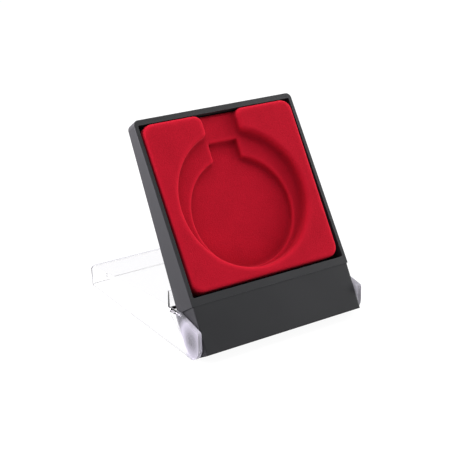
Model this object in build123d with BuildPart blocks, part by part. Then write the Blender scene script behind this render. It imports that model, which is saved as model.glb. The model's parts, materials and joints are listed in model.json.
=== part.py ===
"""Medal display case: a moulded tray with a flocked insert, and a clear lid that folds behind it as a stand.

The case is modelled as it stands on a table: the lid lies face up behind the tray, and the tray
leans back on the lid's stop lip.  X is across the case, Y towards the back, and Z up, with the
table at Z = 0.  Tray and insert are drawn along the tray's rim, the lid along the table.
"""
import os
from math import acos, atan2, cos, degrees, hypot, radians, sin, tan

from build123d import *

os.makedirs("parts", exist_ok=True)

# Attitude, in degrees
lean_angle = 63.8  # the tray's back against the table, when it rests on the stop lip
wedge_angle = 5.8  # the rim plane against the back: the tray thins towards its free end
face_angle = 0.75  # the insert's face against the rim plane: it rises towards the free end
ledge_angle = 2.5  # the recesses' floors against the insert's face: they lie deeper at the foot

# Recesses for the medals, in millimetres, each measured at its floor
large_medal = 50.0
small_medal = 40.0
medal_clearance = 0.3  # on the diameter
large_recess_depth = 4.3  # at its centre
small_recess_depth = 2.3  # under the large recess's floor
recess_step = 0.8  # the small recess stands this far in from the large one, at the foot
recess_draft = 4.0  # degrees
large_neck_width = 13.7
neck_inset = 1.1  # the small recess's neck is narrower by this much, each side
small_neck_length = 5.8  # past the small recess's round
neck_corner_radius = 1.8
neck_mouth_radius = 3.0

# Insert
side_margin = 5.9  # large recess to the insert's sides
foot_margin = 3.65  # large recess to the insert's lower edge
end_margin = 7.1  # large recess to the insert's upper edge
insert_gap = 0.35  # upper edge to the pocket's wall
insert_side_gap = 0.55  # sides to the pocket's walls, at the free end
insert_foot_gap = 1.0  # sides and lower edge to the pocket's walls, at the foot
insert_proud = 0.4  # the insert's face stands over the rim, at its lower edge
insert_corner_radius = 4.0
sheet_thickness = 0.8
face_edge_radius = 1.35
ledge_edge_radius = 0.5

# Tray
rim_width = 1.4
end_rim = 2.0  # rim at the free end
block_inset = 0.35  # the label block's sides stand in from the rim's, each side
hinge_to_back = 6.1  # hinge axis, square to the back
hinge_to_rim = 7.2  # hinge axis, square to the rim plane
hinge_to_pocket = 13.3  # hinge axis to the pocket's lower wall, along the rim
pocket_corner_radius = 0.6
floor_thickness = 1.2
strip_width = 2.7  # rim strip between the pocket and the label panel
panel_length = 17.1
panel_step = 0.2  # the panel lies this far under the strip
panel_tilt = 4.0  # the panel against the rim plane
panel_wall = 2.0
end_wall = 1.7
end_wall_foot = 2.0  # the end wall stops this far behind the hinge axis
cheek_thickness = 2.6  # side walls that hold the hinge pins
pocket_wall = 2.0  # wall between the pocket and the hollow behind the panel
rib_thickness = 1.2
rib_spacing = 24.0
rib_setback = 1.5  # the ribs stop short of the back
tray_corner_radius = 2.0
rim_edge_radius = 0.3
block_edge_radius = 0.5

# Hinge
pin_radius = 1.5
pin_clearance = 0.05
pin_end_gap = 0.35  # pin's end inside the cheek's inner face
boss_radius = 2.8
boss_height = 0.2

# Lid
lid_side_gap = 0.35  # tray's rim to the lid's side walls
lid_wall = 1.25
lid_face = 1.0
lid_face_gap = 0.3  # insert's face to the lid's inner face when closed
lid_end_gap = 0.25
lid_end_wall = 1.2
lid_reveal = 0.1  # the closed lid's rim stands past the tray's back
lid_corner_radius = 3.0
lid_edge_radius = 1.2
lid_inner_edge_radius = 0.6
shoulder_reach = 6.7  # hinge axis to where the side wall's top edge turns down
ear_front_height = 5.5  # the ear's front corner, over the hinge axis
ear_corner_radius = 0.8
ear_pad = 0.2  # the ears are this much thicker inside
pad_foot = 5.0  # the thick part's rear edge, level with the hinge axis
lip_height = 13.8  # the lip's top edge, over the hinge axis
lip_top_thickness = 0.8
lip_foot_thickness = 1.4
lip_end_inset = 0.7
stop_gap = 0.12  # lip's top edge to the tray's back

# Worked out from the sizes above
wedge = radians(wedge_angle)
face_wedge = radians(wedge_angle - face_angle)
back_lean = radians(lean_angle)
rim_lean = back_lean - wedge
face_lean = back_lean - face_wedge
large_radius = (large_medal + medal_clearance) / 2
small_radius = (small_medal + medal_clearance) / 2
insert_length = foot_margin + 2 * large_radius + end_margin
pocket_length = insert_foot_gap + insert_length + insert_gap
pocket_width = 2 * (large_radius + side_margin + insert_side_gap)
tray_width = pocket_width + 2 * rim_width
half_pocket = pocket_width / 2
half_tray = tray_width / 2
half_block = half_tray - block_inset
cheek_inner = half_block - cheek_thickness
pocket_end = hinge_to_pocket + pocket_length
tray_end = pocket_end + end_rim
panel_start = hinge_to_pocket - strip_width
panel_top = hinge_to_rim - panel_step
tilt = radians(panel_tilt)
panel_foot = (panel_start - panel_length * cos(tilt), panel_top - panel_length * sin(tilt))
foot_angle = atan2(panel_foot[1], panel_foot[0]) + acos(hinge_to_back / hypot(*panel_foot))
lid_radius = hinge_to_back + lid_reveal
lid_inner = half_tray + lid_side_gap
half_lid = lid_inner + lid_wall
ear_inner = lid_inner - ear_pad
lid_inner_end = tray_end * cos(wedge) + hinge_to_rim * sin(wedge) + lid_end_gap
lid_end = lid_inner_end + lid_end_wall
lip_front = (hinge_to_back + stop_gap + lip_height * cos(back_lean)) / sin(back_lean)

# Centre of the rounding at the panel's foot, the point of the case that stands furthest forward
foot_inset = block_edge_radius / (1 + sin(foot_angle - tilt))
foot_round = (
    panel_foot[0] - foot_inset * (cos(foot_angle) - sin(tilt)),
    panel_foot[1] - foot_inset * (sin(foot_angle) + cos(tilt)),
)
front_reach = foot_round[1] * sin(rim_lean) - foot_round[0] * cos(rim_lean) + block_edge_radius
hinge_y = (front_reach - lid_end) / 2  # the case is centred on Y = 0


def side_plane(angle):
    """The plane X = 0 through the hinge axis, its first direction at this angle to the table."""
    return Plane(
        origin=(0, hinge_y, lid_radius), x_dir=(0, cos(angle), sin(angle)), z_dir=(1, 0, 0)
    )


def back_height(along, inset=0.0):
    """Height of the back, or of a plane inset from it, in the rim's side view."""
    return along * tan(wedge) - (hinge_to_back - inset) / cos(wedge)


def lid_height(along, rise):
    """Height in the lid's side view of a plane parallel to the insert's face, when closed."""
    return face_foot[1] + rise / cos(face_wedge) - (along - face_foot[0]) * tan(face_wedge)


rim_side = side_plane(rim_lean)
lid_side = side_plane(0)

# The insert's lower edge, in its own plane and in the side view of the closed lid
insert_foot = hinge_to_pocket + insert_foot_gap
face_rise = hinge_to_rim + insert_proud
face_plane = Plane(
    origin=rim_side.from_local_coords((insert_foot, face_rise, 0)),
    x_dir=(1, 0, 0),
    z_dir=side_plane(face_lean).y_dir,
)
face_foot = (
    insert_foot * cos(wedge) + face_rise * sin(wedge),
    face_rise * cos(wedge) - insert_foot * sin(wedge),
)


# ---- Tray: wedge-shaped pocket, label block with an open back, cheeks for the hinge pins ----

back_angle = wedge_angle - 90
hollow_end = hinge_to_pocket - pocket_wall
hollow_foot = end_wall - hinge_to_back
hollow_drop = panel_wall / cos(tilt)


def panel_height(along, drop=0.0):
    """Height of the label panel, or of a plane under it, in the rim's side view."""
    return panel_top - drop - (panel_start - along) * tan(tilt)


def is_outer_end(edge):
    """Whether an edge stands at one of the tray's outer corners at its free end."""
    middle = rim_side.to_local_coords(edge.center())
    return middle.X > pocket_end and abs(middle.Z) > half_pocket


def is_pocket_corner(edge):
    """Whether an edge stands at one of the pocket's corners."""
    middle = rim_side.to_local_coords(edge.center())
    return middle.X > hinge_to_pocket - 0.01 and abs(abs(middle.Z) - half_pocket) < 0.01


def is_off_strip(edge):
    """Whether an edge of the rim lies past the strip's lower edge."""
    return rim_side.to_local_coords(edge.center()).X > panel_start + 0.01


def is_panel_border(edge):
    """Whether an edge of the label panel is one of its sides or its foot."""
    middle = rim_side.to_local_coords(edge.center())
    on_panel = abs(middle.Y - panel_height(middle.X)) < 0.01 and middle.X < panel_start - 0.01
    return on_panel and abs(middle.Z) < half_block + 0.01


with BuildPart() as base_tray:
    with BuildSketch(rim_side):
        Polygon(
            (panel_start, hinge_to_rim),
            (panel_start, back_height(panel_start)),
            (tray_end, back_height(tray_end)),
            (tray_end, hinge_to_rim),
            align=None,
        )
    extrude(amount=half_tray, both=True)

    with BuildSketch(rim_side):
        with BuildLine():
            Line((panel_start, panel_top), panel_foot)
            Line(panel_foot, (hinge_to_back * cos(foot_angle), hinge_to_back * sin(foot_angle)))
            CenterArc(
                (0, 0), hinge_to_back, degrees(foot_angle), 360 + back_angle - degrees(foot_angle)
            )
            Line(
                (hinge_to_back * sin(wedge), -hinge_to_back * cos(wedge)),
                (panel_start, back_height(panel_start)),
            )
            Line((panel_start, back_height(panel_start)), (panel_start, panel_top))
        make_face()
    extrude(amount=half_block, both=True)

    # Pocket for the insert, its floor parallel to the back
    with BuildSketch(rim_side):
        Polygon(
            (hinge_to_pocket, hinge_to_rim + 1),
            (hinge_to_pocket, back_height(hinge_to_pocket, floor_thickness)),
            (pocket_end, back_height(pocket_end, floor_thickness)),
            (pocket_end, hinge_to_rim + 1),
            align=None,
        )
    extrude(amount=half_pocket, both=True, mode=Mode.SUBTRACT)

    # Hollow behind the panel, open at the back, with the end wall cut short at its foot
    hollow_top = [
        (hollow_foot, panel_height(hollow_foot, hollow_drop)),
        (hollow_end, panel_height(hollow_end, hollow_drop)),
    ]
    with BuildSketch(rim_side):
        Polygon(
            *hollow_top,
            (hollow_end, -2 * hinge_to_back),
            (-2 * hinge_to_back, -2 * hinge_to_back),
            (-2 * hinge_to_back, -end_wall_foot),
            (hollow_foot, -end_wall_foot),
            align=None,
        )
    extrude(amount=cheek_inner, both=True, mode=Mode.SUBTRACT)

    for rib_middle in (-rib_spacing / 2, rib_spacing / 2):
        with BuildSketch(rim_side.offset(rib_middle)):
            Polygon(
                *hollow_top,
                (hollow_end, back_height(hollow_end, rib_setback)),
                (0, back_height(0, rib_setback)),
                (hollow_foot, -end_wall_foot),
                align=None,
            )
        extrude(amount=rib_thickness / 2, both=True)

    for side in (-1, 1):
        with BuildSketch(rim_side.offset(side * (half_block + 1))):
            Circle(pin_radius + pin_clearance)
        extrude(amount=-side * (cheek_thickness + 2), mode=Mode.SUBTRACT)

    # Corners first, then the edges of the rim and of the label panel
    rim_normal = Axis((0, 0, 0), rim_side.y_dir)
    fillet(base_tray.edges().filter_by(rim_normal).filter_by(is_outer_end), tray_corner_radius)
    fillet(base_tray.edges().filter_by(rim_normal).filter_by(is_pocket_corner), pocket_corner_radius)
    rim = base_tray.faces().filter_by(rim_normal).sort_by(rim_normal)[-1]
    fillet(rim.outer_wire().edges().filter_by(is_off_strip), rim_edge_radius)
    fillet(base_tray.edges().filter_by(is_panel_border), block_edge_radius)

base_tray.part.label = "base_tray"
export_step(base_tray.part, "parts/base_tray.step")


# ---- Insert: flocked sheet with two stacked round recesses, each with a neck for the medal's ring ----

large_centre = foot_margin + large_radius
small_centre = foot_margin + recess_step + small_radius
small_neck_end = small_centre + small_radius + small_neck_length
small_neck_width = large_neck_width - 2 * neck_inset
skirt_depth = hinge_to_rim + hinge_to_back + insert_length * sin(radians(face_angle))
foot_corner = (half_pocket - insert_foot_gap, 0)
end_corner = (half_pocket - insert_side_gap, insert_length)
floor_plane = Plane(
    origin=rim_side.from_local_coords((0, back_height(0, floor_thickness), 0)),
    x_dir=(1, 0, 0),
    z_dir=side_plane(back_lean).y_dir,
)

# The recesses' floors, their origins under the large recess's centre
ledge_plane = Plane(
    origin=face_plane.from_local_coords((0, large_centre, -large_recess_depth)),
    x_dir=(1, 0, 0),
    z_dir=side_plane(face_lean + radians(ledge_angle)).y_dir,
)
small_floor = ledge_plane.offset(-small_recess_depth)
small_offset = small_centre - large_centre
small_neck_offset = small_neck_end - large_centre

# The large recess at the insert's face, where its draft has widened it
draft_spread = large_recess_depth * tan(radians(recess_draft))
mouth_radius = large_radius + draft_spread
mouth_neck_width = large_neck_width + 2 * draft_spread
mouth_neck_length = insert_length - large_centre + insert_corner_radius
mouth_neck_middle = large_centre + mouth_neck_length / 2


def insert_corners(inset=0.0):
    """Corners of the insert's outline, or of one inset from it."""
    foot_x, end_x = foot_corner[0] - inset, end_corner[0] - inset
    low, high = foot_corner[1] + inset, end_corner[1] - inset
    return [(-foot_x, low), (foot_x, low), (end_x, high), (-end_x, high)]


def neck_corners(outline, width):
    """Corners of a recess's neck, where it meets the round and at its end."""
    return [v for v in outline.vertices() if abs(abs(v.X) - width / 2) < 0.01]


def level_faces(solid, plane):
    """The insert's faces that lie along a plane, lowest first."""
    upward = Axis((0, 0, 0), plane.z_dir)
    return solid.faces().filter_by(upward).sort_by(upward)


def is_neck_mouth(edge):
    """Whether an edge stands where the large recess's neck opens at the insert's upper edge."""
    middle = face_plane.to_local_coords(edge.center())
    beside_neck = abs(abs(middle.X) - large_neck_width / 2) < sheet_thickness + 0.5
    return beside_neck and insert_length - middle.Y < sheet_thickness + 0.1


def is_neck_sill(edge):
    """Whether an edge ends the large recess's floor at the insert's upper edge."""
    middle = face_plane.to_local_coords(edge.center())
    in_skirt = -skirt_depth + 1 < middle.Z < 0
    return in_skirt and abs(middle.X) < 0.1 and abs(middle.Y - insert_length) < 0.1


# The large recess, its neck open to the insert's upper edge, and the same a sheet larger
with BuildPart() as large_recess:
    with BuildSketch(face_plane) as large_outline:
        with Locations((0, large_centre)):
            Circle(mouth_radius)
        with Locations((0, mouth_neck_middle)):
            Rectangle(mouth_neck_width, mouth_neck_length)
        fillet(neck_corners(large_outline, mouth_neck_width), neck_corner_radius)
    extrude(amount=-2 * large_recess_depth, taper=recess_draft)
    split(bisect_by=ledge_plane, keep=Keep.TOP)

with BuildPart() as large_underside:
    with BuildSketch(face_plane):
        with Locations((0, large_centre)):
            Circle(mouth_radius + sheet_thickness)
        with Locations((0, mouth_neck_middle)):
            Rectangle(mouth_neck_width + 2 * sheet_thickness, mouth_neck_length)
    extrude(amount=-2 * large_recess_depth, taper=recess_draft)
    split(bisect_by=ledge_plane.offset(-sheet_thickness), keep=Keep.TOP)

# What is hollow under the sheet: the insert's outline less the recesses
with BuildPart() as insert_core:
    with BuildSketch(face_plane.offset(-sheet_thickness)) as core_outline:
        Polygon(*insert_corners(sheet_thickness), align=None)
        fillet(core_outline.vertices(), insert_corner_radius - sheet_thickness)
    extrude(amount=-skirt_depth)
    add(large_underside.part, mode=Mode.SUBTRACT)
    fillet(insert_core.edges().filter_by(is_neck_mouth), neck_mouth_radius - sheet_thickness)
    with BuildSketch(small_floor.offset(-sheet_thickness)):
        with Locations((0, small_offset)):
            Circle(small_radius + sheet_thickness)
        with Locations((0, (small_offset + small_neck_offset + sheet_thickness) / 2)):
            Rectangle(
                small_neck_width + 2 * sheet_thickness,
                small_neck_offset + sheet_thickness - small_offset,
            )
    extrude(amount=small_recess_depth, taper=-recess_draft, mode=Mode.SUBTRACT)


with BuildPart() as flocked_insert:
    with BuildSketch(face_plane) as insert_outline:
        Polygon(*insert_corners(), align=None)
        fillet(insert_outline.vertices(), insert_corner_radius)
    extrude(amount=-skirt_depth)
    add(large_recess.part, mode=Mode.SUBTRACT)
    fillet(flocked_insert.edges().filter_by(is_neck_mouth), neck_mouth_radius)
    fillet(flocked_insert.edges().filter_by(is_neck_sill), face_edge_radius)

    # Small recess in the large one's floor, its neck closed
    with BuildSketch(small_floor):
        with Locations((0, small_offset)):
            Circle(small_radius)
        with Locations((0, (small_offset + small_neck_offset) / 2)):
            Rectangle(small_neck_width, small_neck_offset - small_offset)
    extrude(amount=small_recess_depth, taper=-recess_draft, mode=Mode.SUBTRACT)

    # Soft edges: the face and its recess first, then the ledge
    fillet(level_faces(flocked_insert, face_plane)[-1].edges(), face_edge_radius)
    fillet(level_faces(flocked_insert, ledge_plane)[-1].inner_wires().edges(), ledge_edge_radius)

    add(insert_core.part, mode=Mode.SUBTRACT)
    split(bisect_by=floor_plane, keep=Keep.TOP)
flocked_insert.part.label = "flocked_insert"
export_step(flocked_insert.part, "parts/flocked_insert.step")


# ---- Lid: clear tray, lying face up, with ears, hinge pins and the stop lip ----

lid_rise = lid_face_gap + lid_face
shoulder = (shoulder_reach, lid_height(shoulder_reach, lid_rise))
ear_front = (-lid_radius, ear_front_height)
lid_end_top = (lid_end, lid_height(lid_end, lid_rise))
inner_corner_radius = lid_corner_radius - lid_end_wall


def is_ear_corner(edge):
    """Whether an edge across the lid is one of its ears' front corners."""
    middle = lid_side.to_local_coords(edge.center())
    return abs(middle.X - ear_front[0]) < 0.01 and abs(middle.Y - ear_front[1]) < 0.01


def is_behind_shoulder(shape):
    """Whether a face or an edge of the lid lies behind the side walls' shoulders."""
    return lid_side.to_local_coords(shape.center()).X > shoulder_reach + 1


# Room inside the lid, and between its ears
with BuildPart() as lid_core:
    with BuildSketch(lid_side):
        Polygon(
            (lip_front, -lid_radius - 1),
            (lid_inner_end, -lid_radius - 1),
            (lid_inner_end, lid_height(lid_inner_end, lid_face_gap)),
            (lip_front, lid_height(lip_front, lid_face_gap)),
            align=None,
        )
    extrude(amount=lid_inner, both=True)
    inner_corners = lid_core.edges().filter_by(Axis.Z).group_by(Axis.Y)[-1]
    fillet(inner_corners, inner_corner_radius)
    ceiling = lid_core.faces().sort_by(Axis.Z)[-1]
    fillet(ceiling.edges().sort_by(Axis.Y)[1:], lid_inner_edge_radius)
    with BuildSketch(lid_side):
        Polygon(
            (-2 * lid_radius, -2 * lid_radius),
            (lip_front, -2 * lid_radius),
            (lip_front, 2 * lip_height),
            (-2 * lid_radius, 2 * lip_height),
            align=None,
        )
    extrude(amount=lid_inner, both=True)

with BuildPart() as clear_lid:
    with BuildSketch(lid_side):
        with BuildLine():
            Polyline(
                (0, -lid_radius),
                (lid_end, -lid_radius),
                lid_end_top,
                shoulder,
                ear_front,
                (-lid_radius, 0),
            )
            CenterArc((0, 0), lid_radius, 180, 90)
        make_face()
    extrude(amount=half_lid, both=True)
    fillet(clear_lid.edges().filter_by(Axis.X).filter_by(is_ear_corner), ear_corner_radius)
    fillet(clear_lid.edges().filter_by(Axis.Z).group_by(Axis.Y)[-1], lid_corner_radius)
    lid_top = clear_lid.faces().filter_by(is_behind_shoulder).sort_by(Axis.Z)[-1]
    fillet(lid_top.edges().filter_by(is_behind_shoulder), lid_edge_radius)
    add(lid_core.part, mode=Mode.SUBTRACT)

    # Stop lip along the face's front edge
    lip_root = lid_height(lip_front + lip_foot_thickness, lid_rise - lid_face / 2)
    with BuildSketch(lid_side):
        Polygon(
            (lip_front, lip_root),
            (lip_front + lip_foot_thickness, lip_root),
            (lip_front + lip_top_thickness, lip_height),
            (lip_front, lip_height),
            align=None,
        )
    extrude(amount=half_lid - lip_end_inset, both=True)

    # Ears thickened on the inside, each with a boss and its hinge pin
    for side in (-1, 1):
        with BuildSketch(lid_side.offset(side * lid_inner)) as pad_outline:
            with BuildLine():
                Polyline(
                    (0, -lid_radius),
                    (pad_foot, 0),
                    (lip_front, lid_height(lip_front, -lid_inner_edge_radius)),
                    shoulder,
                    ear_front,
                    (-lid_radius, 0),
                )
                CenterArc((0, 0), lid_radius, 180, 90)
            make_face()
            front_corner = pad_outline.vertices().group_by(Axis.X)[0].sort_by(Axis.Y)[-1]
            fillet(front_corner, ear_corner_radius)
        extrude(amount=-side * ear_pad)
        with BuildSketch(lid_side.offset(side * ear_inner)):
            Circle(boss_radius)
        extrude(amount=-side * boss_height)
        with BuildSketch(lid_side.offset(side * ear_inner)):
            Circle(pin_radius)
        extrude(amount=-side * (ear_inner - cheek_inner - pin_end_gap))

clear_lid.part.label = "clear_lid"
export_step(clear_lid.part, "parts/clear_lid.step")
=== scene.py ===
"""Looks for a medal display case: moulded tray, flocked insert and clear lid."""
import json

import bmesh
import bpy
from bpy.props import FloatProperty, FloatVectorProperty, IntProperty, PointerProperty
from bpy.types import Operator, Panel, PropertyGroup
from mathutils import Matrix, Vector


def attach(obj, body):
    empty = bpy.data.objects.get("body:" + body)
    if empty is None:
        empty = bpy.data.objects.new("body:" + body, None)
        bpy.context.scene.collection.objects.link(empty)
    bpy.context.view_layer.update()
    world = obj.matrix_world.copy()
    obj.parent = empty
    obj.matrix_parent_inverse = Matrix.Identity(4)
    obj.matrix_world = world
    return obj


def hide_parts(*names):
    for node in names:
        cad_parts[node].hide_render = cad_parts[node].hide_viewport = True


bl_info = {
    "name": "Medal Display Case",
    "version": (1, 0, 0),
    "blender": (4, 5, 0),
    "location": "View3D > Sidebar > Medal Case",
    "description": "Builds the looks of a medal display case around its CAD frame",
    "category": "Object",
}

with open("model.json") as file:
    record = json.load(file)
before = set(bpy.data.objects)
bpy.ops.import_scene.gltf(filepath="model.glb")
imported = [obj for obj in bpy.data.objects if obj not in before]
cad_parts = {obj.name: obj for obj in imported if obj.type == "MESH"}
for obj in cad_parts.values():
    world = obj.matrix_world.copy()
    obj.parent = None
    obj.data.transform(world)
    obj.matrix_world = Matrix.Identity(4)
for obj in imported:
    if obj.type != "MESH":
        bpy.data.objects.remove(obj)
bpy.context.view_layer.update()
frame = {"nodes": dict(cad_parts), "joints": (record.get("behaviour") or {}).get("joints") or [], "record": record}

MM = 0.001
TOUCHING = 0.001 * MM  # two points closer than this are one

# Fixed values inside the node groups
PATCH_NOISE = (0.4, 0.7)  # noise levels from which, and up to which, a handled patch builds up
CORNER_FROM = 0.4  # openness at which a corner counts as quite closed
EDGE_COSINES = (0.98, 0.8)  # true normal against the rounded one, from no edge to a full edge
RING_REACH = 20 * MM  # the rings' places are shares of this radius
# Painted shade and highlight in the ears: low ring strength leaves them grey towards the hinge, and the full ring
# is a painted highlight.
RINGS = ((0.1, 0.25), (0.31, 1), (0.36, 0.6), (0.43, 0))  # place and strength of each milky ring


# ---- Settings ----

class CaseTraySettings(PropertyGroup):
    """Finish of the black moulded tray."""

    colour: FloatVectorProperty(
        name="Plastic Colour", description="Colour of the moulded plastic",
        subtype="COLOR", size=3, min=0, max=1, default=(0.0115, 0.012, 0.0145),
    )
    roughness: FloatProperty(
        name="Roughness", description="Roughness of the satin surface",
        subtype="FACTOR", min=0, max=1, default=0.42,
    )
    wear: FloatProperty(
        name="Wear", description="Roughness added where hands have touched the plastic",
        subtype="FACTOR", min=0, max=1, default=0.06,
    )
    patch_size: FloatProperty(
        name="Patch Size", description="Size of the touched patches",
        unit="LENGTH", subtype="DISTANCE", default=15 * MM,
    )
    corner_dullness: FloatProperty(
        name="Corner Dullness", description="Roughness added in tight corners",
        subtype="FACTOR", min=0, max=1, default=0.5,
    )
    corner_reach: FloatProperty(
        name="Corner Reach", description="How far from a corner the plastic is dull",
        unit="LENGTH", subtype="DISTANCE", default=4 * MM,
    )
    texture_size: FloatProperty(
        name="Texture Size", description="Size of the fine texture's pits",
        unit="LENGTH", subtype="DISTANCE", default=0.35 * MM,
    )
    texture_depth: FloatProperty(
        name="Texture Depth", description="Depth of the fine texture's pits",
        unit="LENGTH", subtype="DISTANCE", default=0.02 * MM,
    )
    texture_strength: FloatProperty(
        name="Texture Strength", description="How clearly the fine texture shows",
        subtype="FACTOR", min=0, max=1, default=0.3,
    )
    # Painted highlight: the colour below is mixed in along the tray's sharp edges, for light caught by their
    # roundings, and edge_width sets the band's width.
    edge_highlight: FloatVectorProperty(
        name="Edge Colour", description="Colour of the plastic where its edges are rubbed",
        subtype="COLOR", size=3, min=0, max=1, default=(0.04, 0.041, 0.047),
    )
    edge_width: FloatProperty(
        name="Edge Width", description="Width of the rubbed edges",
        unit="LENGTH", subtype="DISTANCE", default=0.3 * MM,
    )


class CaseInsertSettings(PropertyGroup):
    """Finish of the red flocked insert."""

    colour: FloatVectorProperty(
        name="Flock Colour", description="Colour of the flock",
        subtype="COLOR", size=3, min=0, max=1, default=(0.64, 0.009, 0.03),
    )
    shade: FloatVectorProperty(
        name="Flock Shade", description="Colour between the fibres",
        subtype="COLOR", size=3, min=0, max=1, default=(0.33, 0.0035, 0.0135),
    )
    # Painted shade: the creases are darkened to this share of the flock's shade colour.
    crease_level: FloatProperty(
        name="Crease Level", description="How bright a crease is, as a share of the shade",
        subtype="FACTOR", min=0, max=1, default=0.8,
    )
    roughness: FloatProperty(
        name="Roughness", description="Roughness of the flock",
        subtype="FACTOR", min=0, max=1, default=0.95,
    )
    gloss: FloatProperty(
        name="Gloss", description="How strongly the flock mirrors light",
        subtype="FACTOR", min=0, max=1, default=0.1,
    )
    sheen: FloatProperty(
        name="Sheen", description="Strength of the pile's soft glow at a slant",
        subtype="FACTOR", min=0, max=1, default=0.35,
    )
    sheen_roughness: FloatProperty(
        name="Sheen Roughness", description="How widely the pile's glow spreads",
        subtype="FACTOR", min=0, max=1, default=0.4,
    )
    sheen_colour: FloatVectorProperty(
        name="Sheen Colour", description="Colour of the pile's glow",
        subtype="COLOR", size=3, min=0, max=1, default=(1, 0.06, 0.11),
    )
    fibre_size: FloatProperty(
        name="Fibre Size", description="Size of the flock's tufts",
        unit="LENGTH", subtype="DISTANCE", default=0.4 * MM,
    )
    fibre_depth: FloatProperty(
        name="Fibre Depth", description="Depth of the hollows between the tufts",
        unit="LENGTH", subtype="DISTANCE", default=0.14 * MM,
    )
    fibre_strength: FloatProperty(
        name="Fibre Strength", description="How clearly the tufts show",
        subtype="FACTOR", min=0, max=1, default=0.8,
    )
    lay_size: FloatProperty(
        name="Lay Size", description="Size of the patches where the pile lies over",
        unit="LENGTH", subtype="DISTANCE", default=9 * MM,
    )
    lay_share: FloatProperty(
        name="Lay Share", description="How much the patches count against the tufts",
        subtype="FACTOR", min=0, max=1, default=0.35,
    )
    # Painted highlight: a brighter colour mixed in along the insert's edges, for light caught by their roundings.
    edge_highlight: FloatVectorProperty(
        name="Edge Colour", description="Colour of the pile where it spreads over an edge",
        subtype="COLOR", size=3, min=0, max=1, default=(0.75, 0.012, 0.035),
    )
    relief: FloatProperty(
        name="Relief", description="How far a full edge stands out from what is next to it",
        unit="LENGTH", subtype="DISTANCE", default=0.06 * MM,
    )
    # Painted shade: the two settings below darken the pile at the foot of walls and in tight corners, where less
    # light reaches.
    hollow: FloatProperty(
        name="Hollow", description="How bright the pile stays at the foot of a wall",
        subtype="FACTOR", min=0, max=1, default=0.78,
    )
    hollow_reach: FloatProperty(
        name="Hollow Reach", description="How far from a wall's foot the pile is darker",
        unit="LENGTH", subtype="DISTANCE", default=6 * MM,
    )
    voxel: FloatProperty(
        name="Voxel", description="Fineness of the sheet's rebuilt mesh",
        unit="LENGTH", subtype="DISTANCE", default=0.42 * MM,
    )
    softening: IntProperty(
        name="Softening", description="Passes that round the sheet's edges and corners",
        min=0, default=10,
    )
    evening: IntProperty(
        name="Evening", description="Passes that even out the relief over its neighbours",
        min=0, default=2,
    )


class CaseLidSettings(PropertyGroup):
    """Finish of the clear lid."""

    tint: FloatVectorProperty(
        name="Tint", description="Colour that a thick edge of the plastic takes",
        subtype="COLOR", size=3, min=0, max=1, default=(0.86, 0.84, 1.0),
    )
    roughness: FloatProperty(
        name="Roughness", description="Roughness of the polished surface",
        subtype="FACTOR", min=0, max=1, default=0.02,
    )
    wear: FloatProperty(
        name="Wear", description="Roughness added where hands have touched the plastic",
        subtype="FACTOR", min=0, max=1, default=0.04,
    )
    patch_size: FloatProperty(
        name="Patch Size", description="Size of the touched patches",
        unit="LENGTH", subtype="DISTANCE", default=15 * MM,
    )
    refraction: FloatProperty(
        name="Refraction", description="Index of refraction of the plastic",
        min=1, max=2, default=1.45,
    )
    density: FloatProperty(
        name="Tint Density", description="How fast the plastic takes on its tint, per metre",
        min=0, default=30,
    )
    clear_share: FloatProperty(
        name="Clear Share", description="How much lamplight passes straight through the lid",
        subtype="FACTOR", min=0, max=1, default=0.96,
    )
    milk: FloatVectorProperty(
        name="Milky Colour", description="Colour of the plastic where it scatters light",
        subtype="COLOR", size=3, min=0, max=1, default=(0.8, 0.78, 0.87),
    )
    haze: FloatProperty(
        name="Ear Haze", description="How cloudy the ears are",
        subtype="FACTOR", min=0, max=1, default=0.38,
    )
    ear_share: FloatProperty(
        name="Ear Share", description="How much lamplight passes straight through the ears",
        subtype="FACTOR", min=0, max=1, default=0.45,
    )
    ear_roughness: FloatProperty(
        name="Ear Roughness", description="Roughness of the ears",
        subtype="FACTOR", min=0, max=1, default=0.08,
    )
    ear_wear: FloatProperty(
        name="Ear Wear", description="Roughness added where hands have touched the ears",
        subtype="FACTOR", min=0, max=1, default=0.15,
    )
    ear_patch: FloatProperty(
        name="Ear Patch", description="Size of the touched patches on the ears",
        unit="LENGTH", subtype="DISTANCE", default=5 * MM,
    )
    # Painted shade: a grey mixed into the ears close to the hinge.
    hinge_shade: FloatVectorProperty(
        name="Hub Colour", description="Colour of the cloudy plastic close to the hinge",
        subtype="COLOR", size=3, min=0, max=1, default=(0.22, 0.22, 0.24),
    )
    ear_foot: FloatVectorProperty(
        name="Ear Foot", description="Hinge to the foot of the line where the ears turn clear",
        unit="LENGTH", subtype="TRANSLATION", size=3, default=(0, 2 * MM, -6.2 * MM),
    )
    ear_top: FloatVectorProperty(
        name="Ear Top", description="Hinge to the top of the line where the ears turn clear",
        unit="LENGTH", subtype="TRANSLATION", size=3, default=(0, 9 * MM, 8 * MM),
    )
    haze_offset: FloatVectorProperty(
        name="Haze Offset", description="Hinge to the middle of the ears' milky part",
        unit="LENGTH", subtype="TRANSLATION", size=3, default=(0, -1.5 * MM, 1 * MM),
    )
    edge_frost: FloatProperty(
        name="Edge Frost", description="Roughness added along the lid's edges",
        subtype="FACTOR", min=0, max=1, default=0.35,
    )
    edge_width: FloatProperty(
        name="Edge Width", description="Width of the frosted edges",
        unit="LENGTH", subtype="DISTANCE", default=0.6 * MM,
    )


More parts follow.
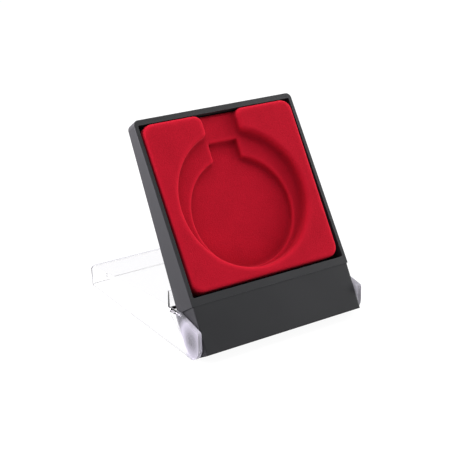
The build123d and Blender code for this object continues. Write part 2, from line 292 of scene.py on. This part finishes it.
class CaseStageSettings(PropertyGroup):
    """Floor, light and camera."""

    top_power: FloatProperty(
        name="Top Power", description="Power of the large lamp overhead",
        unit="POWER", default=3.75,
    )
    right_power: FloatProperty(
        name="Right Power", description="Power of the lamp low on the right",
        unit="POWER", default=6.4,
    )
    rear_power: FloatProperty(
        name="Rear Power", description="Power of the lamp behind on the left",
        unit="POWER", default=12.5,
    )
    top_place: FloatVectorProperty(
        name="Top Place", description="Middle of the lamp overhead",
        unit="LENGTH", subtype="TRANSLATION", size=3, default=(0, 0, 0.8),
    )
    right_place: FloatVectorProperty(
        name="Right Place", description="Middle of the lamp on the right",
        unit="LENGTH", subtype="TRANSLATION", size=3, default=(0.75, -0.1, 0.3),
    )
    rear_place: FloatVectorProperty(
        name="Rear Place", description="Middle of the lamp behind",
        unit="LENGTH", subtype="TRANSLATION", size=3, default=(-0.5, 0.4, 0.3),
    )
    rear_colour: FloatVectorProperty(
        name="Rear Colour", description="Colour of the lamp behind; the others are white",
        subtype="COLOR", size=3, min=0, max=1, default=(0.93, 0.88, 0.97),
    )
    lamp_aim: FloatVectorProperty(
        name="Lamp Aim", description="Point that every lamp faces",
        unit="LENGTH", subtype="TRANSLATION", size=3, default=(0, 0, 0.04),
    )
    lamp_size: FloatProperty(
        name="Lamp Size", description="Diameter of each lamp",
        unit="LENGTH", subtype="DISTANCE", default=700 * MM,
    )
    fill_level: FloatProperty(
        name="Fill Level", description="Strength of the light from all round",
        min=0, default=0.305,
    )
    mirror_level: FloatProperty(
        name="Mirror Level", description="Strength of the white floor that the surfaces mirror",
        min=0, default=0.6,
    )
    sky_share: FloatProperty(
        name="Sky Share", description="Strength of the mirrored sky, as a share of the floor's",
        subtype="FACTOR", min=0, max=1, default=0.8,
    )
    floor_level: FloatProperty(
        name="Floor Level", description="Strength of the white floor where the camera sees it",
        min=0, default=1.18,
    )
    floor_colour: FloatVectorProperty(
        name="Floor Colour", description="Colour of the floor under the lamps",
        subtype="COLOR", size=3, min=0, max=1, default=(0.58, 0.58, 0.58),
    )
    floor_roughness: FloatProperty(
        name="Floor Roughness", description="Roughness of the floor",
        subtype="FACTOR", min=0, max=1, default=0.9,
    )
    floor_reach: FloatProperty(
        name="Floor Reach", description="From the floor's middle to its edges",
        unit="LENGTH", subtype="DISTANCE", default=3,
    )
    shadow_share: FloatProperty(
        name="Shadow Share", description="How much of the floor is real light, with its shadows",
        subtype="FACTOR", min=0, max=1, default=0.2,
    )
    camera_place: FloatVectorProperty(
        name="Camera Place", description="Where the camera stands",
        unit="LENGTH", subtype="TRANSLATION", size=3,
        default=tuple(Vector((-190.19, -317.55, 167.31)) * MM),
    )
    camera_forward: FloatVectorProperty(
        name="Camera Forward", description="The way the camera looks",
        subtype="DIRECTION", size=3, default=(0.48790, 0.80034, -0.34843),
    )
    camera_up: FloatVectorProperty(
        name="Camera Up", description="The way that is up for the camera",
        subtype="DIRECTION", size=3, default=(0.21149, 0.27888, 0.93675),
    )
    focal_length: FloatProperty(
        name="Focal Length", description="Focal length of the lens, in millimetres",
        unit="CAMERA", min=10, max=300, default=84.13,
    )
    sensor_width: FloatProperty(
        name="Sensor Width", description="Width of the camera's sensor, in millimetres",
        unit="CAMERA", min=1, default=36,
    )


# ---- Meshes ----

def mount(name):
    """A mount of the case, as the frame's record gives it."""
    return next(item for item in frame["record"]["mounts"] if item["name"] == name)


def hinge():
    """The middle of the lid's hinge."""
    return Vector(frame["joints"][0]["pos_m"])


def merged(node, name):
    """A copy of a node as a new piece, its loose triangles joined."""
    mesh = node.data.copy()
    mesh.name = name
    mesh.materials.clear()
    bm = bmesh.new()
    bm.from_mesh(mesh)
    bmesh.ops.remove_doubles(bm, verts=bm.verts, dist=TOUCHING)
    bm.to_mesh(mesh)
    bm.free()
    piece = bpy.data.objects.new(name, mesh)
    bpy.context.scene.collection.objects.link(piece)
    return piece


def softened(node, name, up, voxel, passes):
    """A copy of a node with a fine even mesh, laid out square to up, and all its edges rounded."""
    turn = Vector(up).rotation_difference(Vector((0, 0, 1))).to_matrix().to_4x4()
    piece = merged(node, name)
    mesh = piece.data
    mesh.transform(turn)
    remesh = piece.modifiers.new("remesh", "REMESH")
    remesh.mode = "VOXEL"
    remesh.voxel_size = voxel
    smooth = piece.modifiers.new("smooth", "SMOOTH")
    smooth.iterations = passes
    depsgraph = bpy.context.evaluated_depsgraph_get()
    shaped = bpy.data.meshes.new_from_object(piece.evaluated_get(depsgraph))
    piece.modifiers.clear()
    shaped.transform(turn.inverted())
    shaped.shade_smooth()
    piece.data = shaped
    bpy.data.meshes.remove(mesh)
    shaped.name = name
    return piece


def note_relief(mesh, passes):
    """Notes on each vertex how far it stands out from its neighbours, evened out over them."""
    bm = bmesh.new()
    bm.from_mesh(mesh)
    near = []
    stand = []
    for vert in bm.verts:
        others = [edge.other_vert(vert) for edge in vert.link_edges]
        near.append([other.index for other in others])
        middle = sum((other.co for other in others), Vector()) / len(others)
        stand.append((vert.co - middle).dot(vert.normal))
    bm.free()
    for _ in range(passes):
        means = [sum(stand[k] for k in around) / len(around) for around in near]
        stand = [(value + mean) / 2 for value, mean in zip(stand, means)]
    mesh.attributes.new("stand", "FLOAT", "POINT").data.foreach_set("value", stand)


# ---- Materials ----

def new_material(name):
    """An empty node material with its Principled shader."""
    material = bpy.data.materials.new(name)
    material.use_nodes = True
    nodes = material.node_tree.nodes
    shader = nodes["Principled BSDF"]
    return material, nodes, material.node_tree.links, shader


def new_group(name, inputs, outputs):
    """An empty node group. Inputs are (name, kind, default) and outputs (name, kind)."""
    group = bpy.data.node_groups.new(name, "ShaderNodeTree")
    for label, kind, default in inputs:
        socket = group.interface.new_socket(label, in_out="INPUT", socket_type=kind)
        socket.default_value = default
    for label, kind in outputs:
        group.interface.new_socket(label, in_out="OUTPUT", socket_type=kind)
    entry, leave = group.nodes.new("NodeGroupInput"), group.nodes.new("NodeGroupOutput")
    return group, group.nodes, group.links, entry.outputs, leave.inputs


def handled_group():
    """Roughness that rises in soft patches where hands have touched the plastic."""
    group, nodes, links, given, result = new_group(
        "handled",
        (
            ("Roughness", "NodeSocketFloat", 0.3),
            ("Added", "NodeSocketFloat", 0.1),
            ("Size", "NodeSocketFloat", 15 * MM),
        ),
        (("Roughness", "NodeSocketFloat"),),
    )
    coords = nodes.new("ShaderNodeTexCoord")
    scale = nodes.new("ShaderNodeMath")
    scale.operation = "DIVIDE"
    scale.inputs[0].default_value = 1
    links.new(given["Size"], scale.inputs[1])
    patches = nodes.new("ShaderNodeTexNoise")
    patches.inputs["Detail"].default_value = 3
    links.new(coords.outputs["Object"], patches.inputs["Vector"])
    links.new(scale.outputs[0], patches.inputs["Scale"])
    worn = nodes.new("ShaderNodeMapRange")
    worn.inputs["From Min"].default_value = PATCH_NOISE[0]
    worn.inputs["From Max"].default_value = PATCH_NOISE[1]
    links.new(patches.outputs["Fac"], worn.inputs["Value"])
    total = nodes.new("ShaderNodeMath")
    total.operation = "MULTIPLY_ADD"
    links.new(worn.outputs["Result"], total.inputs[0])
    links.new(given["Added"], total.inputs[1])
    links.new(given["Roughness"], total.inputs[2])
    links.new(total.outputs[0], result["Roughness"])
    return group


def open_group():
    """How open the surface lies, from the least value in a tight corner to the full one."""
    group, nodes, links, given, result = new_group(
        "open",
        (
            ("Reach", "NodeSocketFloat", 6 * MM),
            ("Least", "NodeSocketFloat", 0.5),
            ("Full", "NodeSocketFloat", 1),
        ),
        (("Value", "NodeSocketFloat"),),
    )
    hollow = nodes.new("ShaderNodeAmbientOcclusion")
    hollow.samples = 8
    links.new(given["Reach"], hollow.inputs["Distance"])
    spread = nodes.new("ShaderNodeMapRange")
    spread.inputs["From Min"].default_value = CORNER_FROM
    links.new(hollow.outputs["AO"], spread.inputs["Value"])
    links.new(given["Least"], spread.inputs["To Min"])
    links.new(given["Full"], spread.inputs["To Max"])
    links.new(spread.outputs["Result"], result["Value"])
    return group


def relief_group():
    """Masks of the edges and of the creases, from what is noted on the vertices."""
    group, nodes, links, given, result = new_group(
        "relief",
        (("Height", "NodeSocketFloat", 0.03 * MM),),
        (("Edge", "NodeSocketFloat"), ("Crease", "NodeSocketFloat")),
    )
    stand = nodes.new("ShaderNodeAttribute")
    stand.attribute_name = "stand"
    for label, sign in (("Edge", 1), ("Crease", -1)):
        reach = nodes.new("ShaderNodeMath")
        reach.operation = "MULTIPLY"
        reach.inputs[1].default_value = sign
        links.new(given["Height"], reach.inputs[0])
        mask = nodes.new("ShaderNodeMapRange")
        links.new(reach.outputs[0], mask.inputs["From Max"])
        links.new(stand.outputs["Fac"], mask.inputs["Value"])
        links.new(mask.outputs["Result"], result[label])
    return group


def edges_group():
    """A mask of the sharp edges, where a rounded normal would leave the true one."""
    group, nodes, links, given, result = new_group(
        "edges", (("Radius", "NodeSocketFloat", 0.3 * MM),), (("Mask", "NodeSocketFloat"),)
    )
    rounded = nodes.new("ShaderNodeBevel")
    rounded.samples = 6
    links.new(given["Radius"], rounded.inputs["Radius"])
    actual = nodes.new("ShaderNodeNewGeometry")
    same = nodes.new("ShaderNodeVectorMath")
    same.operation = "DOT_PRODUCT"
    links.new(rounded.outputs["Normal"], same.inputs[0])
    links.new(actual.outputs["Normal"], same.inputs[1])
    mask = nodes.new("ShaderNodeMapRange")
    mask.inputs["From Min"].default_value = EDGE_COSINES[0]
    mask.inputs["From Max"].default_value = EDGE_COSINES[1]
    links.new(same.outputs["Value"], mask.inputs["Value"])
    links.new(mask.outputs["Result"], result["Mask"])
    return group


def haze_group():
    """A mask in rings round a line along X: thin at the middle, full further out, none beyond."""
    group, nodes, links, given, result = new_group(
        "haze", (("Middle", "NodeSocketVector", (0, 0, 0)),), (("Mask", "NodeSocketFloat"),)
    )
    coords = nodes.new("ShaderNodeTexCoord")
    apart = nodes.new("ShaderNodeVectorMath")
    apart.operation = "SUBTRACT"
    links.new(given["Middle"], apart.inputs[1])
    links.new(coords.outputs["Object"], apart.inputs[0])
    square = nodes.new("ShaderNodeVectorMath")
    square.operation = "MULTIPLY"
    square.inputs[1].default_value = (0, 1, 1)
    links.new(apart.outputs["Vector"], square.inputs[0])
    radius = nodes.new("ShaderNodeVectorMath")
    radius.operation = "LENGTH"
    links.new(square.outputs["Vector"], radius.inputs[0])
    near = nodes.new("ShaderNodeMapRange")
    near.inputs["From Max"].default_value = RING_REACH
    links.new(radius.outputs["Value"], near.inputs["Value"])
    ramp = nodes.new("ShaderNodeValToRGB")
    rings = ramp.color_ramp.elements
    for place, _ in RINGS[len(rings):]:
        rings.new(place)
    for ring, (place, level) in zip(rings, RINGS):
        ring.position = place
        ring.color = (level, level, level, 1)
    links.new(near.outputs["Result"], ramp.inputs["Fac"])
    links.new(ramp.outputs["Color"], result["Mask"])
    return group


GROUPS = {
    "handled": handled_group,
    "open": open_group,
    "relief": relief_group,
    "edges": edges_group,
    "haze": haze_group,
}


def use(nodes, name, **values):
    """A node that holds the named group, built the first time, with the given input values."""
    node = nodes.new("ShaderNodeGroup")
    node.node_tree = bpy.data.node_groups.get(name) or GROUPS[name]()
    for label, value in values.items():
        node.inputs[label].default_value = value
    return node


def black_plastic(settings):
    """Satin black plastic with a fine moulded texture, and a painted highlight along its edges."""
    material, nodes, links, shader = new_material("moulded_black")
    edges = use(nodes, "edges", Radius=settings.edge_width)
    # Painted highlight: a lighter colour mixed in along the sharp edges.
    highlighted = nodes.new("ShaderNodeMix")
    highlighted.data_type = "RGBA"
    highlighted.inputs["A"].default_value = (*settings.colour, 1)
    highlighted.inputs["B"].default_value = (*settings.edge_highlight, 1)
    links.new(edges.outputs["Mask"], highlighted.inputs["Factor"])
    links.new(highlighted.outputs["Result"], shader.inputs["Base Color"])
    handled = use(
        nodes, "handled", Roughness=settings.roughness, Added=settings.wear,
        Size=settings.patch_size,
    )
    corners = use(
        nodes, "open", Reach=settings.corner_reach, Least=settings.corner_dullness, Full=0
    )
    dull = nodes.new("ShaderNodeMath")
    links.new(handled.outputs["Roughness"], dull.inputs[0])
    links.new(corners.outputs["Value"], dull.inputs[1])
    links.new(dull.outputs[0], shader.inputs["Roughness"])
    coords = nodes.new("ShaderNodeTexCoord")
    pits = nodes.new("ShaderNodeTexNoise")
    pits.inputs["Scale"].default_value = 1 / settings.texture_size
    pits.inputs["Detail"].default_value = 2
    links.new(coords.outputs["Object"], pits.inputs["Vector"])
    bump = nodes.new("ShaderNodeBump")
    bump.inputs["Strength"].default_value = settings.texture_strength
    bump.inputs["Distance"].default_value = settings.texture_depth
    links.new(pits.outputs["Fac"], bump.inputs["Height"])
    links.new(bump.outputs["Normal"], shader.inputs["Normal"])
    return material


def red_flock(settings):
    """Short red fibres, brighter where they lie over, with a painted highlight along the edges and painted shade
    in the creases and at the foot of walls.
    """
    material, nodes, links, shader = new_material("red_flock")
    coords = nodes.new("ShaderNodeTexCoord")
    tufts = nodes.new("ShaderNodeTexNoise")
    tufts.inputs["Scale"].default_value = 1 / settings.fibre_size
    tufts.inputs["Detail"].default_value = 3
    links.new(coords.outputs["Object"], tufts.inputs["Vector"])
    lay = nodes.new("ShaderNodeTexNoise")
    lay.inputs["Scale"].default_value = 1 / settings.lay_size
    lay.inputs["Detail"].default_value = 1
    links.new(coords.outputs["Object"], lay.inputs["Vector"])
    blend = nodes.new("ShaderNodeMix")
    blend.inputs["Factor"].default_value = settings.lay_share
    links.new(tufts.outputs["Fac"], blend.inputs["A"])
    links.new(lay.outputs["Fac"], blend.inputs["B"])
    pile = nodes.new("ShaderNodeMix")
    pile.data_type = "RGBA"
    pile.inputs["A"].default_value = (*settings.shade, 1)
    pile.inputs["B"].default_value = (*settings.colour, 1)
    links.new(blend.outputs["Result"], pile.inputs["Factor"])
    relief = use(nodes, "relief", Height=settings.relief)
    # Painted highlight along the edges.
    bright = nodes.new("ShaderNodeMix")
    bright.data_type = "RGBA"
    bright.inputs["B"].default_value = (*settings.edge_highlight, 1)
    links.new(relief.outputs["Edge"], bright.inputs["Factor"])
    links.new(pile.outputs["Result"], bright.inputs["A"])
    # Painted shade in the creases.
    deep = nodes.new("ShaderNodeMix")
    deep.data_type = "RGBA"
    crease = (settings.crease_level * value for value in settings.shade)
    deep.inputs["B"].default_value = (*crease, 1)
    links.new(relief.outputs["Crease"], deep.inputs["Factor"])
    links.new(bright.outputs["Result"], deep.inputs["A"])
    # Painted shade at the foot of walls and in tight corners, from ambient occlusion.
    sunk = use(nodes, "open", Reach=settings.hollow_reach, Least=settings.hollow)
    colour = nodes.new("ShaderNodeVectorMath")
    colour.operation = "SCALE"
    links.new(deep.outputs["Result"], colour.inputs[0])
    links.new(sunk.outputs["Value"], colour.inputs["Scale"])
    links.new(colour.outputs["Vector"], shader.inputs["Base Color"])
    shader.inputs["Roughness"].default_value = settings.roughness
    shader.inputs["Specular IOR Level"].default_value = settings.gloss
    shader.inputs["Sheen Weight"].default_value = settings.sheen
    shader.inputs["Sheen Roughness"].default_value = settings.sheen_roughness
    shader.inputs["Sheen Tint"].default_value = (*settings.sheen_colour, 1)
    bump = nodes.new("ShaderNodeBump")
    bump.inputs["Strength"].default_value = settings.fibre_strength
    bump.inputs["Distance"].default_value = settings.fibre_depth
    links.new(tufts.outputs["Fac"], bump.inputs["Height"])
    links.new(bump.outputs["Normal"], shader.inputs["Normal"])
    return material


def lamps_through(material, shader, share):
    """Lets lamps and bounced light straight through the plastic, for a faint shadow."""
    nodes, links = material.node_tree.nodes, material.node_tree.links
    rays = nodes.new("ShaderNodeLightPath")
    unseen = nodes.new("ShaderNodeMath")
    unseen.operation = "MAXIMUM"
    links.new(rays.outputs["Is Shadow Ray"], unseen.inputs[0])
    links.new(rays.outputs["Is Diffuse Ray"], unseen.inputs[1])
    straight = nodes.new("ShaderNodeBsdfTransparent")
    straight.inputs["Color"].default_value = (share, share, share, 1)
    mix = nodes.new("ShaderNodeMixShader")
    links.new(unseen.outputs[0], mix.inputs["Fac"])
    links.new(shader.outputs["BSDF"], mix.inputs[1])
    links.new(straight.outputs["BSDF"], mix.inputs[2])
    links.new(mix.outputs["Shader"], nodes["Material Output"].inputs["Surface"])


def clear_plastic(settings):
    """Clear polished plastic, dulled along its edges."""
    material, nodes, links, shader = new_material("clear_plastic")
    shader.inputs["Base Color"].default_value = (1, 1, 1, 1)
    shader.inputs["Transmission Weight"].default_value = 1
    shader.inputs["IOR"].default_value = settings.refraction
    handled = use(
        nodes, "handled", Roughness=settings.roughness, Added=settings.wear,
        Size=settings.patch_size,
    )
    edges = use(nodes, "edges", Radius=settings.edge_width)
    frosted = nodes.new("ShaderNodeMath")
    frosted.operation = "MULTIPLY_ADD"
    frosted.inputs[1].default_value = settings.edge_frost
    links.new(edges.outputs["Mask"], frosted.inputs[0])
    links.new(handled.outputs["Roughness"], frosted.inputs[2])
    links.new(frosted.outputs[0], shader.inputs["Roughness"])
    body = nodes.new("ShaderNodeVolumeAbsorption")
    body.inputs["Color"].default_value = (*settings.tint, 1)
    body.inputs["Density"].default_value = settings.density
    links.new(body.outputs["Volume"], nodes["Material Output"].inputs["Volume"])
    lamps_through(material, shader, settings.clear_share)
    return material


def milky_plastic(settings):
    """The same plastic where it was moulded thick: cloudy and faintly violet, with painted grey shade towards the
    hinge and a painted highlight in a bright ring round it.
    """
    material, nodes, links, shader = new_material("milky_plastic")
    # Painted shade and highlight: grey towards the hinge, the full milky colour in a bright ring round it.
    haze = use(nodes, "haze", Middle=hinge() + Vector(settings.haze_offset))
    cloud = nodes.new("ShaderNodeMix")
    cloud.data_type = "RGBA"
    cloud.inputs["A"].default_value = (*settings.hinge_shade, 1)
    cloud.inputs["B"].default_value = (*settings.milk, 1)
    links.new(haze.outputs["Mask"], cloud.inputs["Factor"])
    links.new(cloud.outputs["Result"], shader.inputs["Base Color"])
    shader.inputs["Transmission Weight"].default_value = 1 - settings.haze
    shader.inputs["IOR"].default_value = settings.refraction
    handled = use(
        nodes, "handled", Roughness=settings.ear_roughness, Added=settings.ear_wear,
        Size=settings.ear_patch,
    )
    links.new(handled.outputs["Roughness"], shader.inputs["Roughness"])
    lamps_through(material, shader, settings.ear_share)
    return material


def studio_white(tree, glow, mirror_level, level=1):
    """Sets a white's strength by the kind of ray; puts out where camera and mirrors see it."""
    nodes, links = tree.nodes, tree.links
    rays = nodes.new("ShaderNodeLightPath")
    mirrored = nodes.new("ShaderNodeMath")
    mirrored.operation = "SUBTRACT"
    links.new(rays.outputs["Is Glossy Ray"], mirrored.inputs[0])
    links.new(rays.outputs["Is Transmission Ray"], mirrored.inputs[1])
    strength = nodes.new("ShaderNodeMapRange")
    strength.inputs["To Min"].default_value = level
    strength.inputs["To Max"].default_value = mirror_level
    links.new(mirrored.outputs[0], strength.inputs["Value"])
    links.new(strength.outputs["Result"], glow.inputs["Strength"])
    through = nodes.new("ShaderNodeMath")
    through.operation = "MAXIMUM"
    links.new(rays.outputs["Is Glossy Ray"], through.inputs[0])
    links.new(rays.outputs["Is Transmission Ray"], through.inputs[1])
    seen = nodes.new("ShaderNodeMath")
    seen.operation = "MAXIMUM"
    links.new(rays.outputs["Is Camera Ray"], seen.inputs[0])
    links.new(through.outputs[0], seen.inputs[1])
    return seen.outputs[0]


def white_floor(settings):
    """White seen at full strength, but for a share of real light that keeps the shadows."""
    material, nodes, links, shader = new_material("floor_white")
    shader.inputs["Base Color"].default_value = (*settings.floor_colour, 1)
    shader.inputs["Roughness"].default_value = settings.floor_roughness
    shader.inputs["Specular IOR Level"].default_value = 0
    glow = nodes.new("ShaderNodeEmission")
    amount = nodes.new("ShaderNodeMath")
    amount.operation = "MULTIPLY"
    seen = studio_white(material.node_tree, glow, settings.mirror_level, settings.floor_level)
    links.new(seen, amount.inputs[0])
    amount.inputs[1].default_value = 1 - settings.shadow_share
    mix = nodes.new("ShaderNodeMixShader")
    links.new(amount.outputs[0], mix.inputs["Fac"])
    links.new(shader.outputs["BSDF"], mix.inputs[1])
    links.new(glow.outputs["Emission"], mix.inputs[2])
    links.new(mix.outputs["Shader"], nodes["Material Output"].inputs["Surface"])
    return material


# ---- Operators ----

class CASE_OT_tray(Operator):
    """Finish the moulded tray"""

    bl_idname = "medal_case.tray"
    bl_label = "Moulded Tray"

    def execute(self, context):
        tray = frame["nodes"]["base_tray"]
        tray.data.materials.clear()
        tray.data.materials.append(black_plastic(context.scene.case_tray))
        return {"FINISHED"}


class CASE_OT_insert(Operator):
    """Finish the flocked insert"""

    bl_idname = "medal_case.insert"
    bl_label = "Flocked Insert"

    def execute(self, context):
        settings = context.scene.case_insert
        node = frame["nodes"]["flocked_insert"]
        up = mount("large_medal_ledge")["axis"]
        sheet = softened(node, "flocked_sheet", up, settings.voxel, settings.softening)
        note_relief(sheet.data, settings.evening)
        sheet.data.materials.append(red_flock(settings))
        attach(sheet, "tray")
        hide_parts("flocked_insert")
        return {"FINISHED"}


class CASE_OT_lid(Operator):
    """Finish the clear lid and its cloudy ears"""

    bl_idname = "medal_case.lid"
    bl_label = "Clear Lid"

    def execute(self, context):
        settings = context.scene.case_lid
        foot = hinge() + Vector(settings.ear_foot)
        along = hinge() + Vector(settings.ear_top) - foot
        forward = Vector((0, -along.z, along.y)).normalized()
        shell = merged(frame["nodes"]["clear_lid"], "lid_shell")
        bm = bmesh.new()
        bm.from_mesh(shell.data)
        bmesh.ops.bisect_plane(
            bm, geom=bm.verts[:] + bm.edges[:] + bm.faces[:],
            dist=TOUCHING, plane_co=foot, plane_no=forward,
        )
        for face in bm.faces:
            face.material_index = int((face.calc_center_median() - foot).dot(forward) > 0)
        bm.to_mesh(shell.data)
        bm.free()
        shell.data.materials.append(clear_plastic(settings))
        shell.data.materials.append(milky_plastic(settings))
        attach(shell, "lid")
        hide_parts("clear_lid")
        return {"FINISHED"}


class CASE_OT_stage(Operator):
    """Make the floor, the lamps, the world and the camera"""

    bl_idname = "medal_case.stage"
    bl_label = "Stage"

    def execute(self, context):
        scene = context.scene
        settings = scene.case_stage
        scene.view_settings.view_transform = "Standard"

        mesh = bpy.data.meshes.new("floor")
        bm = bmesh.new()
        bmesh.ops.create_grid(bm, x_segments=1, y_segments=1, size=settings.floor_reach)
        bm.to_mesh(mesh)
        bm.free()
        floor = bpy.data.objects.new("floor", mesh)
        scene.collection.objects.link(floor)
        mesh.materials.append(white_floor(settings))

        world = bpy.data.worlds.new("studio")
        scene.world = world
        world.use_nodes = True
        nodes, links = world.node_tree.nodes, world.node_tree.links
        soft = nodes["Background"]
        soft.inputs["Color"].default_value = (1, 1, 1, 1)
        soft.inputs["Strength"].default_value = settings.fill_level
        white = nodes.new("ShaderNodeBackground")
        white.inputs["Color"].default_value = (1, 1, 1, 1)
        mix = nodes.new("ShaderNodeMixShader")
        mirrored = settings.sky_share * settings.mirror_level
        links.new(studio_white(world.node_tree, white, mirrored), mix.inputs["Fac"])
        links.new(soft.outputs["Background"], mix.inputs[1])
        links.new(white.outputs["Background"], mix.inputs[2])
        links.new(mix.outputs["Shader"], nodes["World Output"].inputs["Surface"])

        for name, power, place, colour in (
            ("lamp_top", settings.top_power, settings.top_place, (1, 1, 1)),
            ("lamp_right", settings.right_power, settings.right_place, (1, 1, 1)),
            ("lamp_rear", settings.rear_power, settings.rear_place, settings.rear_colour),
        ):
            light = bpy.data.lights.new(name, "AREA")
            light.shape = "DISK"
            light.size = settings.lamp_size
            light.energy = power
            light.color = colour
            lamp = bpy.data.objects.new(name, light)
            lamp.location = place
            aim = Vector(settings.lamp_aim) - lamp.location
            lamp.rotation_euler = aim.to_track_quat("-Z", "Y").to_euler()
            scene.collection.objects.link(lamp)

        lens = bpy.data.cameras.new("camera")
        lens.sensor_width = settings.sensor_width
        lens.lens = settings.focal_length
        camera = bpy.data.objects.new("camera", lens)
        forward = Vector(settings.camera_forward).normalized()
        up = Vector(settings.camera_up).normalized()
        right = forward.cross(up).normalized()
        up = right.cross(forward)
        turn = Matrix((right, up, -forward)).transposed().to_4x4()
        camera.matrix_world = Matrix.Translation(settings.camera_place) @ turn
        scene.collection.objects.link(camera)
        scene.camera = camera
        return {"FINISHED"}


class CASE_PT_panel(Panel):
    """Lists the steps that build the case"""

    bl_idname = "CASE_PT_panel"
    bl_label = "Medal Case"
    bl_space_type = "VIEW_3D"
    bl_region_type = "UI"
    bl_category = "Medal Case"

    def draw(self, context):
        for step in STEPS:
            self.layout.operator(step.bl_idname)


STEPS = (CASE_OT_tray, CASE_OT_insert, CASE_OT_lid, CASE_OT_stage)
SETTINGS = {
    "case_tray": CaseTraySettings,
    "case_insert": CaseInsertSettings,
    "case_lid": CaseLidSettings,
    "case_stage": CaseStageSettings,
}


def register():
    """Registers the settings, the steps and the panel."""
    for name, group in SETTINGS.items():
        bpy.utils.register_class(group)
        setattr(bpy.types.Scene, name, PointerProperty(type=group))
    for item in (*STEPS, CASE_PT_panel):
        bpy.utils.register_class(item)


def unregister():
    """Takes back what register does."""
    for item in (*STEPS, CASE_PT_panel):
        bpy.utils.unregister_class(item)
    for name, group in SETTINGS.items():
        delattr(bpy.types.Scene, name)
        bpy.utils.unregister_class(group)


def main():
    """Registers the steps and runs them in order."""
    register()
    bpy.ops.medal_case.tray()
    bpy.ops.medal_case.insert()
    bpy.ops.medal_case.lid()
    bpy.ops.medal_case.stage()


if __name__ == "__main__":
    main()
